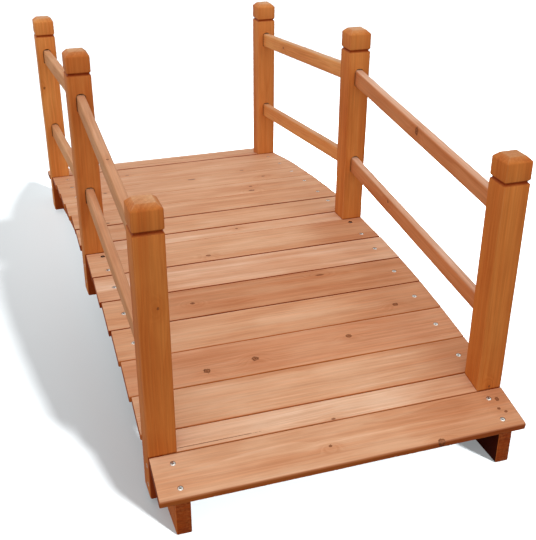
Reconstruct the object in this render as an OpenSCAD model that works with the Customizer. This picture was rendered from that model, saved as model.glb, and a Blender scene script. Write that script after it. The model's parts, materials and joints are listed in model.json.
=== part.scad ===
// Arched wooden garden bridge with a post and rail handrail on each side.
// Two arched stringers carry the deck boards. Six posts are half lapped over
// the stringers, and eight sloping rails are let into the posts.
// X runs across the bridge, Y along it and Z up. The origin is on the ground,
// under the middle of the deck.

/* [Deck] */
// Width of the deck, across the bridge
deck_width = 600; // [450:10:1200]
// Length of the deck, from one end edge to the other
deck_length = 1380; // [1200:10:1800]
// Height of the deck's top at the middle of the arch
crown_height = 153; // [130:1:220]
// Radius of the arch that the deck's top follows
arch_radius = 2950; // [2600:50:6000]
// Thickness of a deck board
board_thickness = 12; // [9:0.5:20]
// Gap between two neighbouring deck boards
board_gap = 1.5; // [1:0.1:4]
// Rounding along a deck board's edges
board_edge_radius = 3; // [1:0.5:4]
// Width of the board at each end of the deck, outside the posts
end_board_width = 82; // [60:1:110]

/* [Stringers] */
// Thickness of a stringer, across the bridge
stringer_thickness = 23; // [18:1:40]
// Depth of a stringer, square to the arch
stringer_depth = 80; // [65:1:100]
// How far a stringer's end face stands back from the deck's end edge
stringer_setback = 4; // [3:0.5:20]

/* [Posts] */
// Side of a post's square section
post_size = 45; // [38:1:70]
// Rounding along a post's upright edges
post_edge_radius = 3; // [1:0.5:6]
// Height of a post's side faces above the deck
post_height = 393; // [350:1:600]
// Height of the sloping cap that is cut on a post's top
cap_height = 8; // [4:0.5:15]
// How far the cap's flat top stands in from a post's side faces
cap_inset = 9; // [5:0.5:14]
// Distance from the cap's lower edge down to the middle of the groove
groove_drop = 32; // [20:1:60]
// Depth of the groove that runs round a post
groove_depth = 3.5; // [2:0.5:5]
// Height of the groove at its mouth
groove_mouth = 7; // [4:0.5:12]
// Thickness of the tongue that laps over the stringer's outer face
tongue_thickness = 22; // [16:0.5:28]
// Height of an end post's foot above the ground
post_foot_height = 10; // [3:1:20]
// Clearance between a post's tongue and the boards beside it
post_clearance = 0.3; // [0.2:0.1:1]

/* [Rails] */
// Thickness of a rail
rail_thickness = 16; // [12:1:24]
// Depth of a rail, square to its length
rail_depth = 32; // [30:1:50]
// Rounding along a rail's edges
rail_edge_radius = 6; // [3:0.5:6]
// Height of an upper rail's centre line above the deck, at a post
upper_rail_height = 309; // [260:1:330]
// Height of a lower rail's centre line above the deck, at a post
lower_rail_height = 125; // [80:1:200]
// Length of a rail's end that is let into a post
tenon_length = 14; // [8:1:18]
// Clearance under a rail and beyond its end in the mortise
mortise_clearance = 0.3; // [0.2:0.1:0.8]
// Clearance on each side of a rail in the mortise
mortise_side_clearance = 0.7; // [0.3:0.1:2]
// Clearance over a rail in the mortise
mortise_top_clearance = 1.5; // [0.5:0.1:4]

/* [Hidden] */
// Each board's share of a bay, from the near end of the bay to its far end
bay_board_shares = [0.157, 0.163, 0.161, 0.169, 0.169, 0.181];
// How far a cut runs past the face that it opens
overrun = 5;
// Sides of a small round edge, and of the arch's circle
edge_sides = 32;
arch_sides = 1440;

deck_half = deck_length / 2;
arch_centre = crown_height - arch_radius;
end_post_y = deck_half - end_board_width - post_size / 2;
stringer_outer = deck_width / 2 - tongue_thickness;
stringer_top_radius = arch_radius - board_thickness;
stringer_low_radius = stringer_top_radius - stringer_depth;
post_x = deck_width / 2 - post_size / 2;
cap_angle = atan(cap_height / cap_inset);

// Angle round the arch at which the deck's top is y from the middle
function arch_angle(y) = asin(y / arch_radius);
// Height of the deck's top at y
function deck_z(y) = arch_centre + arch_radius * cos(arch_angle(y));
// Sum of a list's values before index i
function sum_before(list, i) = i == 0 ? 0 : list[i - 1] + sum_before(list, i - 1);
// Width of a flat board that fills the arch between two angles, less the gap
function board_width(from, to) = 2 * arch_radius * tan((to - from) / 2) - board_gap;

end_angle = arch_angle(deck_half + board_gap / 2);
outer_seam = arch_angle(end_post_y + post_size / 2);
inner_seam = arch_angle(end_post_y - post_size / 2);
middle_seam = arch_angle(post_size / 2);
bay_angle = inner_seam - middle_seam;

rail_slope = atan((crown_height - deck_z(end_post_y)) / end_post_y);
rail_length = (end_post_y - post_size + 2 * tenon_length) / cos(rail_slope);

near = -1;
middle = 0;
far = 1;
left = -1;
right = 1;

// Rectangle with rounded corners, centred
module rounded_rectangle(width, height, radius) {
    square([width - 2 * radius, height], center = true);
    square([width, height - 2 * radius], center = true);
    for (x = [-1, 1], y = [-1, 1])
        translate([x * (width / 2 - radius), y * (height / 2 - radius)])
            circle(r = radius, $fn = edge_sides);
}

// Moves what is drawn at the origin to the deck's top at an angle of the arch
module on_arch(angle) {
    translate([0, 0, arch_centre])
        rotate([-angle, 0, 0])
            translate([0, 0, arch_radius]) children();
}

// Turns a section drawn with its depth along Y into a bar along X
module bar_across(length) {
    rotate([90, 0, 90])
        linear_extrude(height = length, center = true) children();
}

// Side view of a stringer: an arched band with flat feet
module stringer_profile() {
    difference() {
        intersection() {
            translate([0, arch_centre]) circle(r = stringer_top_radius, $fn = arch_sides);
            translate([stringer_setback - deck_half, 0])
                square([deck_length - 2 * stringer_setback, crown_height]);
        }
        translate([0, arch_centre]) circle(r = stringer_low_radius, $fn = arch_sides);
    }
}

module stringer(side) {
    middle_x = side * (stringer_outer - stringer_thickness / 2);
    color("sienna")
        translate([middle_x, 0, 0]) bar_across(stringer_thickness) stringer_profile();
}

// Space that a post's tongue takes through the deck, with its clearance
module tongue_space(row, side) {
    space_depth = post_size + 2 * post_clearance;
    space_width = tongue_thickness + post_clearance + overrun;
    middle_x = side * (stringer_outer - post_clearance + space_width / 2);
    translate([middle_x, row * end_post_y, 0])
        linear_extrude(height = crown_height + overrun)
            square([space_width, space_depth], center = true);
}

// Flat deck board that lies on the arch between two angles
module plank(from, to, length) {
    on_arch((from + to) / 2)
        translate([0, 0, -board_thickness / 2])
            bar_across(length)
                rounded_rectangle(board_width(from, to), board_thickness, board_edge_radius);
}

// Trims the board beside a row of posts so that the posts' tongues pass
module trim_at_posts(row) {
    difference() {
        children();
        for (side = [left, right]) tongue_space(row, side);
    }
}

module end_board(end) {
    from = end == near ? -end_angle : outer_seam;
    to = end == near ? -outer_seam : end_angle;
    color("burlywood") trim_at_posts(end) plank(from, to, deck_width);
}

// Board under the shoulders of a pair of posts, which ends at their tongues
module post_board(row) {
    slope = arch_angle(row * end_post_y);
    half = arch_angle(post_size / 2 / cos(slope));
    color("burlywood") plank(slope - half, slope + half, 2 * (stringer_outer - post_clearance));
}

// Board of a bay, counted from the bay's near end
module bay_board(bay, number) {
    start = bay == near ? -inner_seam : middle_seam;
    from = start + bay_angle * sum_before(bay_board_shares, number - 1);
    to = start + bay_angle * sum_before(bay_board_shares, number);
    near_row = bay == near ? near : middle;
    color("burlywood")
        if (number == 1)
            trim_at_posts(near_row) plank(from, to, deck_width);
        else if (number == len(bay_board_shares))
            trim_at_posts(near_row + 1) plank(from, to, deck_width);
        else
            plank(from, to, deck_width);
}

// Places a rail's section on its centre line, from the end post to the middle post
module along_rail(bay, side, height, length) {
    middle_z = (deck_z(end_post_y) + crown_height) / 2 + height;
    translate([side * post_x, bay * end_post_y / 2, middle_z])
        rotate([90 - bay * rail_slope, 0, 0])
            linear_extrude(height = length, center = true) children();
}

module rail(bay, side, height) {
    color("peru")
        along_rail(bay, side, height, rail_length)
            rounded_rectangle(rail_thickness, rail_depth, rail_edge_radius);
}

// Cut in a post for a rail's end, with its clearances
module mortise(bay, side, height) {
    slot_width = rail_thickness + 2 * mortise_side_clearance;
    slot_depth = rail_depth + mortise_clearance + mortise_top_clearance;
    along_rail(bay, side, height, rail_length + 2 * mortise_clearance)
        translate([0, (mortise_top_clearance - mortise_clearance) / 2])
            rounded_rectangle(slot_width, slot_depth, rail_edge_radius + mortise_side_clearance);
}

// Four cuts that slope a post's top in to the cap's flat
module cap_cuts(top) {
    cut_length = post_size + 2 * overrun;
    for (turn = [0 : 90 : 270])
        rotate([0, 0, turn])
            translate([post_size / 2, 0, top])
                rotate([0, cap_angle, 0])
                    translate([overrun - cut_length, -cut_length / 2, 0])
                        cube([cut_length, cut_length, cut_length]);
}

// Groove of triangular section round a post
module groove(level) {
    cut_length = post_size + 2 * overrun;
    for (turn = [0 : 90 : 270])
        rotate([0, 0, turn])
            translate([post_size / 2, cut_length / 2, level])
                rotate([90, 0, 0])
                    linear_extrude(height = cut_length)
                        polygon([[0, -groove_mouth / 2], [0, groove_mouth / 2], [-groove_depth, 0]]);
}

// Cut that leaves only the tongue below the deck's top
module lap_cut(row, side) {
    cut_size = 2 * (post_size + crown_height);
    slope = arch_angle(row * end_post_y);
    intersection() {
        on_arch(slope)
            translate([0, 0, -crown_height])
                linear_extrude(height = crown_height)
                    square([deck_width, cut_size], center = true);
        translate([side * (stringer_outer - cut_size / 2), row * end_post_y, 0])
            linear_extrude(height = crown_height + overrun)
                square([cut_size, cut_size], center = true);
    }
}

module post(row, side) {
    deck_level = deck_z(row * end_post_y);
    middle_foot = crown_height - board_thickness - stringer_depth;
    foot = row == middle ? middle_foot : post_foot_height;
    top = deck_level + post_height;
    bays = row == middle ? [near, far] : [row];
    color("chocolate")
        difference() {
            translate([side * post_x, row * end_post_y, 0])
                difference() {
                    translate([0, 0, foot])
                        linear_extrude(height = top + cap_height - foot)
                            rounded_rectangle(post_size, post_size, post_edge_radius);
                    cap_cuts(top);
                    groove(top - groove_drop);
                }
            lap_cut(row, side);
            for (bay = bays, height = [upper_rail_height, lower_rail_height])
                mortise(bay, side, height);
        }
}

stringer(left);  // left_stringer
stringer(right);  // right_stringer
end_board(near);  // near_end_board
post_board(near);  // near_post_board
bay_board(near, 1);  // near_board_1
bay_board(near, 2);  // near_board_2
bay_board(near, 3);  // near_board_3
bay_board(near, 4);  // near_board_4
bay_board(near, 5);  // near_board_5
bay_board(near, 6);  // near_board_6
post_board(middle);  // middle_post_board
bay_board(far, 1);  // far_board_1
bay_board(far, 2);  // far_board_2
bay_board(far, 3);  // far_board_3
bay_board(far, 4);  // far_board_4
bay_board(far, 5);  // far_board_5
bay_board(far, 6);  // far_board_6
post_board(far);  // far_post_board
end_board(far);  // far_end_board
post(near, left);  // near_left_post
post(near, right);  // near_right_post
post(middle, left);  // middle_left_post
post(middle, right);  // middle_right_post
post(far, left);  // far_left_post
post(far, right);  // far_right_post
rail(near, left, upper_rail_height);  // near_left_upper_rail
rail(near, left, lower_rail_height);  // near_left_lower_rail
rail(near, right, upper_rail_height);  // near_right_upper_rail
rail(near, right, lower_rail_height);  // near_right_lower_rail
rail(far, left, upper_rail_height);  // far_left_upper_rail
rail(far, left, lower_rail_height);  // far_left_lower_rail
rail(far, right, upper_rail_height);  // far_right_upper_rail
rail(far, right, lower_rail_height);  // far_right_lower_rail
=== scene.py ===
# %% [markdown]
# # A stained wooden garden bridge
# This is a small arched footbridge of softwood. Boards lie across two bowed stringers, and three
# posts and four rails make a handrail on each side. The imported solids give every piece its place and
# size. The lesson builds each piece again as sawn and stained timber, and then sets up a plain
# studio. Blender works in metres, so a size in millimetres is multiplied by MM.

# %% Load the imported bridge
import json
import math
import random

import bmesh
import bpy
from mathutils import Color, Matrix, Vector, noise

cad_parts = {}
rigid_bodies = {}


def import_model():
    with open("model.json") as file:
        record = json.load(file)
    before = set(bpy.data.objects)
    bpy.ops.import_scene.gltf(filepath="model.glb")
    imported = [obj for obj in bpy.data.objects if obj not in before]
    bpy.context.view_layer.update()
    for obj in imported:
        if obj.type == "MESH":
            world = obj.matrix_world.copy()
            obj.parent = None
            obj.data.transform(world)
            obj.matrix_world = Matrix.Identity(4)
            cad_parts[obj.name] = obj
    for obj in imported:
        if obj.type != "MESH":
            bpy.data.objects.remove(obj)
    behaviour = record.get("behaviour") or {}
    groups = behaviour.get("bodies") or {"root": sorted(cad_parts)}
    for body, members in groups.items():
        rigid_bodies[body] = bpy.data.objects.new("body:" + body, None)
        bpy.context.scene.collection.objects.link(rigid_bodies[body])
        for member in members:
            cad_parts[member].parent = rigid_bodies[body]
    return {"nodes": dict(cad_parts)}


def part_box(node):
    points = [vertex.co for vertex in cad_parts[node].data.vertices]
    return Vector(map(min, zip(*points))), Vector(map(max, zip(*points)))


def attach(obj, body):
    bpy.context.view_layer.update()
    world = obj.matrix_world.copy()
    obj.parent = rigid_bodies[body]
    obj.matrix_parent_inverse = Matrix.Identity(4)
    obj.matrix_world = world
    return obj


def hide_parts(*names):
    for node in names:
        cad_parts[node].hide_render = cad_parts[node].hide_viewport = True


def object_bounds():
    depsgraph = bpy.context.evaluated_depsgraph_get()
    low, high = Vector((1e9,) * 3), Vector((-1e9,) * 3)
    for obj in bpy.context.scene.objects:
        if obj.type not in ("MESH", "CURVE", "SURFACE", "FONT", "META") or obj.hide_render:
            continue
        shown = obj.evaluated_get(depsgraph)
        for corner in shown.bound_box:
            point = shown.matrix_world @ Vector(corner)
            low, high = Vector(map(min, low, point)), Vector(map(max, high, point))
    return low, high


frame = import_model()
cad_low, cad_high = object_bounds()
MM = 0.001
UP = Vector((0, 0, 1))
ACROSS = Vector((1, 0, 0))
ALONG = Vector((0, 1, 0))
scene = bpy.context.scene
scene.view_settings.view_transform = "Standard"
print("pieces in the frame:", len(frame["nodes"]))
print("size in mm:", [round(side / MM) for side in cad_high - cad_low])

# %% [markdown]
# ## Measuring a piece along its grain
# Each piece is built in axes of its own: X runs along the grain, Z out of its broad face. Boards and
# rails lie askew, so their axes are read from the solid: its largest facet that points upwards is the
# top face, and its box in those axes gives the size. That is safer than copying angles, because it
# follows the frame.

# %% Measure a piece along its grain
MOSTLY_UP = 0.7


def top_direction(node):
    """Direction of a solid's largest facet that points upwards."""
    facets = [facet for facet in frame["nodes"][node].data.polygons if facet.normal.z > MOSTLY_UP]
    return max(facets, key=lambda facet: facet.area).normal.copy()


def measure(node, grain, face):
    """Placing matrix and size of a solid in axes of its own."""
    x_axis = grain.normalized()
    z_axis = (face - face.project(x_axis)).normalized()
    turn = Matrix((x_axis, z_axis.cross(x_axis), z_axis))
    corners = [turn @ vertex.co for vertex in frame["nodes"][node].data.vertices]
    low = Vector([min(corner[axis] for corner in corners) for axis in range(3)])
    high = Vector([max(corner[axis] for corner in corners) for axis in range(3)])
    turn_back = turn.transposed()
    place = Matrix.Translation(turn_back @ ((low + high) / 2)) @ turn_back.to_4x4()
    return place, high - low


def measure_board(board):
    """A board's grain runs across the bridge and its face is its top."""
    return measure(board, ACROSS, top_direction(board))


def measure_rail(rail):
    """A rail's grain runs along its slope and its face looks across the bridge."""
    return measure(rail, top_direction(rail).cross(ACROSS), ACROSS)


for sample, measuring in (("near_board_1", measure_board), ("near_left_upper_rail", measure_rail)):
    print(sample, "is", [round(side / MM, 1) for side in measuring(sample)[1]], "mm")

# %% [markdown]
# ## Skinning a bar from rings
# A sawn timber could start as a cube with a bevel, but then every edge would be equally perfect. Here
# a bar is skinned from rings of points along the grain, each a rectangle with rounded corners. A ring
# can be moved, shrunk or bent, which gives eased ends, grooves and waviness. Each point remembers how
# far round a corner it lies, as an attribute named arris, so the finish can wear edges.

# %% Skin a closed bar from rings
ARC_STEPS = 5
WELD = 0.001 * MM
SMOOTH_ANGLE = math.radians(38)


def rounded_section(width, depth, radius, flat_steps=1):
    """Points (y, z, arris) round a rectangle with one corner radius or four."""
    radii = radius if isinstance(radius, tuple) else (radius,) * 4
    arcs = []
    for turn, (side_y, side_z) in enumerate(((1, 1), (-1, 1), (-1, -1), (1, -1))):
        corner_radius = radii[turn]
        arc = []
        for step in range(ARC_STEPS + 1):
            quarter = step / ARC_STEPS * math.pi / 2
            angle = turn * math.pi / 2 + quarter
            y = side_y * (width / 2 - corner_radius) + corner_radius * math.cos(angle)
            z = side_z * (depth / 2 - corner_radius) + corner_radius * math.sin(angle)
            arc.append(Vector((y, z, math.sin(2 * quarter))))
        arcs.append(arc)
    points = []
    for arc, following in zip(arcs, arcs[1:] + arcs[:1]):
        points += arc
        points += [arc[-1].lerp(following[0], step / flat_steps) for step in range(1, flat_steps)]
    return points


def bridge_loops(maker, loops):
    """Faces between loops of vertices and a cap on both ends."""
    faces = []
    for loop, following in zip(loops, loops[1:]):
        for index in range(len(loop)):
            after = (index + 1) % len(loop)
            corners = (loop[index], loop[after], following[after], following[index])
            faces.append(maker.faces.new(corners))
    maker.faces.new(reversed(loops[0]))
    faces.append(maker.faces.new(loops[-1]))
    return faces


def link_mesh(name, maker):
    """Object of the scene from a finished mesh."""
    bmesh.ops.recalc_face_normals(maker, faces=maker.faces)
    mesh = bpy.data.meshes.new(name)
    maker.to_mesh(mesh)
    maker.free()
    piece = bpy.data.objects.new(name, mesh)
    scene.collection.objects.link(piece)
    return piece


def skin(name, rings):
    """Closed mesh object over rings of (position, arris) points."""
    maker = bmesh.new()
    # arris runs from 0 to 1 round a corner for wear, and values below zero mark painted shade
    arris_layer = maker.verts.layers.float.new("arris")
    loops = []
    for ring in rings:
        loop = [maker.verts.new(position) for position, arris in ring]
        for vertex, (position, arris) in zip(loop, ring):
            vertex[arris_layer] = arris
        loops.append(loop)
    bridge_loops(maker, loops)
    bmesh.ops.remove_doubles(maker, verts=maker.verts, dist=WELD)
    return link_mesh(name, maker)


def smooth_edges(piece):
    """Shades rounded edges smooth and keeps real corners sharp."""
    piece.data.shade_smooth()
    piece.data.set_sharp_from_angle(angle=SMOOTH_ANGLE)


print("a ring has", len(rounded_section(40 * MM, 20 * MM, 3 * MM)), "points")

# %% [markdown]
# ## Stations along a timber
# A sawn end is eased with sandpaper. The stations list where the rings stand along the grain and how
# much each is drawn in. At both ends a few rings follow a quarter circle, which makes that soft edge,
# and in between they stand evenly, so that the bar can bend. The waviness is Blender's own noise. It
# takes its seed from the clock unless it is given one, so a seed makes every run the same.

# %% Lay out stations and natural waviness
END_EASE = 1.4 * MM
END_STEPS = 4
STATION_SPACING = 24 * MM
WAVE_LENGTH = 90 * MM
WAVE_HEIGHT = 0.3 * MM
WAVE_SEED = 1
noise.seed_set(WAVE_SEED)


def stations(length, spacing=STATION_SPACING):
    """Pairs of place along the grain and draw-in."""
    run = length / 2 - END_EASE
    end = []
    for step in range(END_STEPS + 1):
        angle = step / END_STEPS * math.pi / 2
        end.append((run + END_EASE * math.cos(angle), END_EASE - END_EASE * math.sin(angle)))
    count = max(1, round(2 * run / spacing))
    middle = [(run - 2 * run * step / count, 0.0) for step in range(1, count)]
    return end + middle + [(-place, inset) for place, inset in reversed(end)]


def waver(position, seed):
    """Moves a point a little, as sanding and drying do."""
    return position + noise.noise_vector(position / WAVE_LENGTH + Vector((seed, 0, 0))) * WAVE_HEIGHT


print("a 600 mm board has", len(stations(600 * MM)), "stations")

# %% [markdown]
# ## Nodes with fewer words
# A wood finish takes many nodes, so short helpers keep it readable: one adds a node with its options
# and inputs, and the others wrap the kinds that are used over and over. An input that is another
# node's output becomes a link, and anything else becomes the socket's value. Colours are written as
# on a paint chart.


# %% Helpers for building node trees
def put(tree, socket, value):
    """Links an output to a socket, or writes a plain value on it."""
    if isinstance(value, bpy.types.NodeSocket):
        tree.links.new(value, socket)
    else:
        socket.default_value = value


def add(tree, kind, inputs, **options):
    """Adds a node with its options and its inputs."""
    made = tree.nodes.new(kind)
    for option, value in options.items():
        setattr(made, option, value)
    for socket, value in inputs.items():
        put(tree, made.inputs[socket], value)
    return made


def number(tree, operation, first, second=0.0):
    """One sum on two numbers."""
    return add(tree, "ShaderNodeMath", {0: first, 1: second}, operation=operation).outputs[0]


def vector(tree, operation, first, second=(0, 0, 0)):
    """One sum on two vectors."""
    made = add(tree, "ShaderNodeVectorMath", {0: first, 1: second}, operation=operation)
    return made.outputs["Value" if operation in ("LENGTH", "DOT_PRODUCT") else "Vector"]


def ease(tree, value, low, high, start=0.0, end=1.0):
    """Smooth change from start, at low, to end, at high."""
    inputs = {0: value, 1: low, 2: high, 3: start, 4: end}
    return add(tree, "ShaderNodeMapRange", inputs, interpolation_type="SMOOTHSTEP").outputs[0]


def blend(tree, amount, first, second, how="MIX"):
    """Blends a second colour over a first one."""
    inputs = {0: amount, 6: first, 7: second}
    return add(tree, "ShaderNodeMix", inputs, data_type="RGBA", blend_type=how).outputs[2]


def tinted(tree, colour, *layers):
    """Multiplies a colour by one tint after another, each with its amount."""
    for amount, tint in layers:
        colour = blend(tree, amount, colour, tint, "MULTIPLY")
    return colour


def stretched_noise(tree, point, lengths, detail=2.0):
    """Noise with patches of that length along, across and through the wood."""
    scaled = vector(tree, "DIVIDE", point, lengths)
    return add(tree, "ShaderNodeTexNoise", {"Vector": scaled, "Scale": 1.0, "Detail": detail}).outputs


def relief(tree, height, strength, distance):
    """Normal of a surface with a fine relief."""
    inputs = {"Strength": strength, "Distance": distance, "Height": height}
    return add(tree, "ShaderNodeBump", inputs).outputs[0]


def new_finish(name):
    """A new material, its node tree and its shader."""
    material = bpy.data.materials.new(name)
    material.use_nodes = True
    return material, material.node_tree, material.node_tree.nodes["Principled BSDF"]


def paint(red, green, blue):
    """Colour of a paint chart, from 0 to 255, as linear values."""
    chart = Color((red / 255, green / 255, blue / 255))
    return (*chart.from_srgb_to_scene_linear(), 1.0)


print("mid tan is", [round(value, 3) for value in paint(210, 155, 120)])

# %% [markdown]
# ## The figure of softwood
# A log grows a pale band in spring and a dark one in summer, round and round its pith. A board cuts
# through those rings, which shows as lines and pointed arches. A wave texture would give stripes on
# one face only. This group works in solid wood: it turns a point's distance from a wandering pith
# into rings, so faces, edges and ends agree. Long thin noise adds fibres, streaks and pale flames,
# and broad noise bands and blotches.

# %% Node group for rings, fibres and stain
RING_WIDTH_MM = 7.0
PITH_WANDER_MM = 14.0
WANDER_SPAN_MM = (300, 60, 60)
MIDDLE_GREY = (0.5, 0.5, 0.5)
YEAR_PACE = 0.6
YEAR_SPREAD = 2.2
LATE_RISE = (0.2, 0.9)
LATE_FALL = (0.9, 1.0, 1.0, 0.0)
FLAME_EDGE = (0.55, 0.68)
SPANS_AND_DETAIL = {
    "Fibre": ((70, 1.4, 1.4), 2.0),
    "Streak": ((380, 4.2, 4.2), 2.0),
    "Flame": ((150, 7, 7), 2.0),
    "Band": ((700, 24, 24), 1.0),
    "Blotch": ((120, 40, 40), 4.0),
}
MARKS = ("Late wood", *SPANS_AND_DETAIL)


def wood_figure():
    """Node group from a point in the wood to the marks found there."""
    tree = bpy.data.node_groups.new("softwood figure", "ShaderNodeTree")
    sockets = tree.interface
    sockets.new_socket("Point", in_out="INPUT", socket_type="NodeSocketVector")
    sockets.new_socket("Swell", in_out="INPUT", socket_type="NodeSocketFloat")
    for mark in MARKS:
        sockets.new_socket(mark, in_out="OUTPUT", socket_type="NodeSocketFloat")
    given = add(tree, "NodeGroupInput", {}).outputs
    point = given["Point"]
    wander = stretched_noise(tree, point, WANDER_SPAN_MM)["Color"]
    wander = vector(tree, "SUBTRACT", wander, MIDDLE_GREY)
    wander = vector(tree, "MULTIPLY", wander, (0, PITH_WANDER_MM * 2, PITH_WANDER_MM * 2))
    from_pith = vector(tree, "MULTIPLY", vector(tree, "ADD", point, wander), (0, 1, 1))
    rings = number(tree, "DIVIDE", vector(tree, "LENGTH", from_pith), RING_WIDTH_MM)
    rings = number(tree, "ADD", rings, given["Swell"])
    years = add(tree, "ShaderNodeTexNoise", {"W": rings, "Scale": YEAR_PACE}, noise_dimensions="1D")
    rings = number(tree, "ADD", rings, number(tree, "MULTIPLY", years.outputs[0], YEAR_SPREAD))
    season = number(tree, "FRACT", rings)
    spans = SPANS_AND_DETAIL.items()
    found = {mark: stretched_noise(tree, point, *kind)[0] for mark, kind in spans}
    found["Flame"] = ease(tree, found["Flame"], *FLAME_EDGE)
    rise = ease(tree, season, *LATE_RISE)
    found["Late wood"] = number(tree, "MULTIPLY", rise, ease(tree, season, *LATE_FALL))
    add(tree, "NodeGroupOutput", found)
    return tree


figure = wood_figure()
print("the figure group has", len(figure.nodes), "nodes")

# %% [markdown]
# ## Knots
# A knot is the foot of a branch, darker than the wood round it and with a rim of bark. A painted
# picture would stay on one face. Here each knot is a soft ellipsoid in the wood, given by its centre
# and its reach along, across and through the timber. Noise makes its outline uneven, and its halo
# pushes the rings outwards, which makes the grain swirl.

# %% Nodes for the knots of one piece
KNOT_RAGGED = 0.55
KNOT_GRIT_MM = (2.6, 2.6, 2.6)
HALO_ROOM_MM = 5.0
FAR_AWAY = 99.0
CORE_EDGE = (0.8, 1.2, 1.0, 0.0)
RIM_EDGE = (0.45, 0.85)
HEART_EDGE = (0.1, 0.45, 1.0, 0.0)
HALO_EDGE = (0.3, 2.4, 1.0, 0.0)


def knot_reach(tree, point, knots, room):
    """Distance to the nearest knot, where 1 is its outline with some room."""
    reach = FAR_AWAY
    for centre, (along, across, through) in knots:
        away = vector(tree, "SUBTRACT", point, centre)
        away = vector(tree, "DIVIDE", away, (along + 2 * room, across + room, through + room))
        reach = number(tree, "MINIMUM", reach, vector(tree, "LENGTH", away))
    return reach


def knot_marks(tree, point, knots):
    """Core, dark bark and halo of all knots of a piece."""
    if not knots:
        return 0.0, 0.0, 0.0
    grit = stretched_noise(tree, point, KNOT_GRIT_MM)[0]
    ragged = number(tree, "MULTIPLY", number(tree, "SUBTRACT", grit, 0.5), KNOT_RAGGED * 2)
    reach = number(tree, "ADD", knot_reach(tree, point, knots, 0.0), ragged)
    core = ease(tree, reach, *CORE_EDGE)
    rim = number(tree, "MULTIPLY", core, ease(tree, reach, *RIM_EDGE))
    heart = ease(tree, reach, *HEART_EDGE)
    halo = ease(tree, knot_reach(tree, point, knots, HALO_ROOM_MM), *HALO_EDGE)
    return core, number(tree, "MAXIMUM", rim, heart), halo


print("the halo takes a knot", HALO_ROOM_MM, "mm larger across the grain")

# %% [markdown]
# ## The colour of stained wood
# The bridge is brushed with a thin orange brown stain. Faces that look up are painted a paler
# salmon tan as painted light, and upright faces a deeper orange as painted shade. Over these two
# shades lie the marks of the figure, each as a tint that multiplies the colour, as a thin stain does.
# Knots go on top.

# %% Colour under the marks of the figure
# painted light: how far up a face points decides how much of the paler upper colour it takes
SKYWARD = (0.5, 0.95)
RING_FADE = (0.35, 0.6, 0.128, 0.448)
LATE_TINT = (0.84, 0.70, 0.60, 1)
PATCH_EDGE = (0.34, 0.66)
BLOTCH_TINTS = ((1.02, 1.04, 1.06, 1), (0.96, 0.91, 0.87, 1))
BAND_TINTS = ((1.03, 1.07, 1.10, 1), (0.95, 0.87, 0.81, 1))
FLAME_TINT = (1.05, 1.10, 1.16, 1)
STREAK_SHADES = (0.25, 0.75, 0.95, 1.06)
FIBRE_SHADES = (0.2, 0.8, 0.925, 1.075)
HALO_SHARE = 0.45
HALO_TINT = (0.88, 0.74, 0.62, 1)
CORE_SHARE = 0.7
KNOT_BROWN = paint(150, 84, 44)
BARK_SHARE = 0.72
BARK_BROWN = paint(70, 33, 15)


def wood_colour(tree, marks, knot, upper, upright, skyward):
    """Colour of stained wood from its two shades, painted lit and shaded, its figure and its knots."""
    late, fibre, streak, flame, band, blotch = marks
    core, bark, halo = knot
    # painted light and shade: the world normal blends the deeper upright colour into the paler upper one
    facing = add(tree, "ShaderNodeNewGeometry", {}).outputs["Normal"]
    painted_light_share = add(tree, "ShaderNodeSeparateXYZ", {0: facing}).outputs["Z"]
    colour = blend(tree, ease(tree, painted_light_share, *skyward), upright, upper)
    colour = tinted(
        tree, colour,
        (number(tree, "MULTIPLY", late, ease(tree, blotch, *RING_FADE)), LATE_TINT),
        (1.0, blend(tree, ease(tree, band, *PATCH_EDGE), *BAND_TINTS)),
        (1.0, blend(tree, ease(tree, blotch, *PATCH_EDGE), *BLOTCH_TINTS)),
        (flame, FLAME_TINT),
        (1.0, ease(tree, streak, *STREAK_SHADES)),
        (1.0, ease(tree, fibre, *FIBRE_SHADES)),
        (number(tree, "MULTIPLY", halo, HALO_SHARE), HALO_TINT),
    )
    colour = blend(tree, number(tree, "MULTIPLY", core, CORE_SHARE), colour, KNOT_BROWN)
    return blend(tree, number(tree, "MULTIPLY", bark, BARK_SHARE), colour, BARK_BROWN)


# faces that point up this far take the painted light of the upper colour in full
print("a face is fully faded where its normal points up by", SKYWARD[1])

# %% [markdown]
# ## Ends, edges and painted shade
# Cut ends drink more stain and show the marks of the saw, and edges wear back to the paler shade.
# Painted shade darkens the groove of a post, some joints, the post feet and the tongues, which the
# skin marks with a negative arris down to -1, and the inner faces under the deck are marked -2 for a
# deeper painted shade. Some boards have soaked up more stain towards one end. One finish can do it
# all, as the mesh has the marks.

# %% Colour of ends, edges and painted shade
SHADE_MARK = -1.0
UNDER_DECK_SHADE = -2.0
SOAK_TINT = (0.84, 0.71, 0.62, 1)
END_FACING = (0.75, 0.97, 0.0)
END_TINT = (0.56, 0.37, 0.20, 1)
SAW_SPAN_MM = (40, 1.8, 30)
SAW_SHADES = (0.3, 0.7, 0.72, 1.16)
EDGE_WEAR = (0.35, 0.65, 0.0, 0.22)
# painted shade: where and how dark the shade of grooves, joints and feet is painted, then the deeper
# painted shade under the deck
IN_SHADE_MARK = (0.9 * SHADE_MARK, 0.1 * SHADE_MARK, 1.0, 0.0)
SHADE_MARK_TINT = (0.50, 0.25, 0.13, 1)
IN_UNDER_DECK_SHADE = (UNDER_DECK_SHADE, SHADE_MARK, 1.0, 0.0)
UNDER_DECK_SHADE_TINT = (0.24, 0.18, 0.13, 1)


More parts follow.
